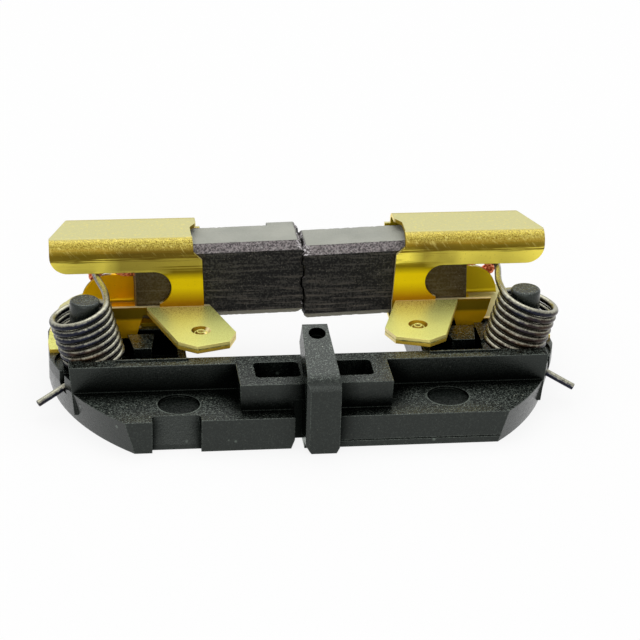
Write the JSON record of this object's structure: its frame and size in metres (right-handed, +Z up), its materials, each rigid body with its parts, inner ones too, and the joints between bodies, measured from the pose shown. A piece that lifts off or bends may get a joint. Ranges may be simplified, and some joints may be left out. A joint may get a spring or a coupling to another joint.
{
  "type": "twin brush holder",
  "caption": "Moulded motor brush holder with folded brass brush boxes, chamfered carbon brushes pressed together by coil spring legs, and a latch arm.",
  "frame": {"origin": "on the flat underside of the moulded base (Z = 0), in the base's middle plane (X = 0), below the front face of the upright wall (Y = 0)", "axes": "+X runs along the brushes to the right, +Y runs from the flange to the brush boxes and the motor side, +Z points up out of the base"},
  "size_m": [0.0548, 0.0287, 0.0147],
  "materials": {
    "holder_plastic": "satin, slightly grainy",
    "brass_sheet": "mill finish sheet",
    "carbon": "pressed carbon, fine scratches",
    "spring_steel": "drawn wire",
    "copper_braid": "braided copper"
  },
  "bodies": {
    "base": {"holder": "holder_plastic", "left_brush_box": "brass_sheet", "right_brush_box": "brass_sheet", "left_brush_spring": "spring_steel", "right_brush_spring": "spring_steel", "left_shunt": "copper_braid", "right_shunt": "copper_braid"},
    "left_brush": {"left_carbon_brush": "carbon"},
    "right_brush": {"right_carbon_brush": "carbon"}
  },
  "joints": [
    {"name": "left_brush_slide", "type": "slide", "parent": "base", "child": "left_brush", "axis": [-1, 0, 0], "range_m": [0, 0.0075], "stiffness_N_per_m": 20, "springref_m": -0.025, "deforming": ["left_brush_spring", "left_shunt"]},
    {"name": "right_brush_slide", "type": "slide", "parent": "base", "child": "right_brush", "axis": [1, 0, 0], "range_m": [0, 0.0075], "stiffness_N_per_m": 20, "springref_m": -0.025, "deforming": ["right_brush_spring", "right_shunt"]}
  ]
}
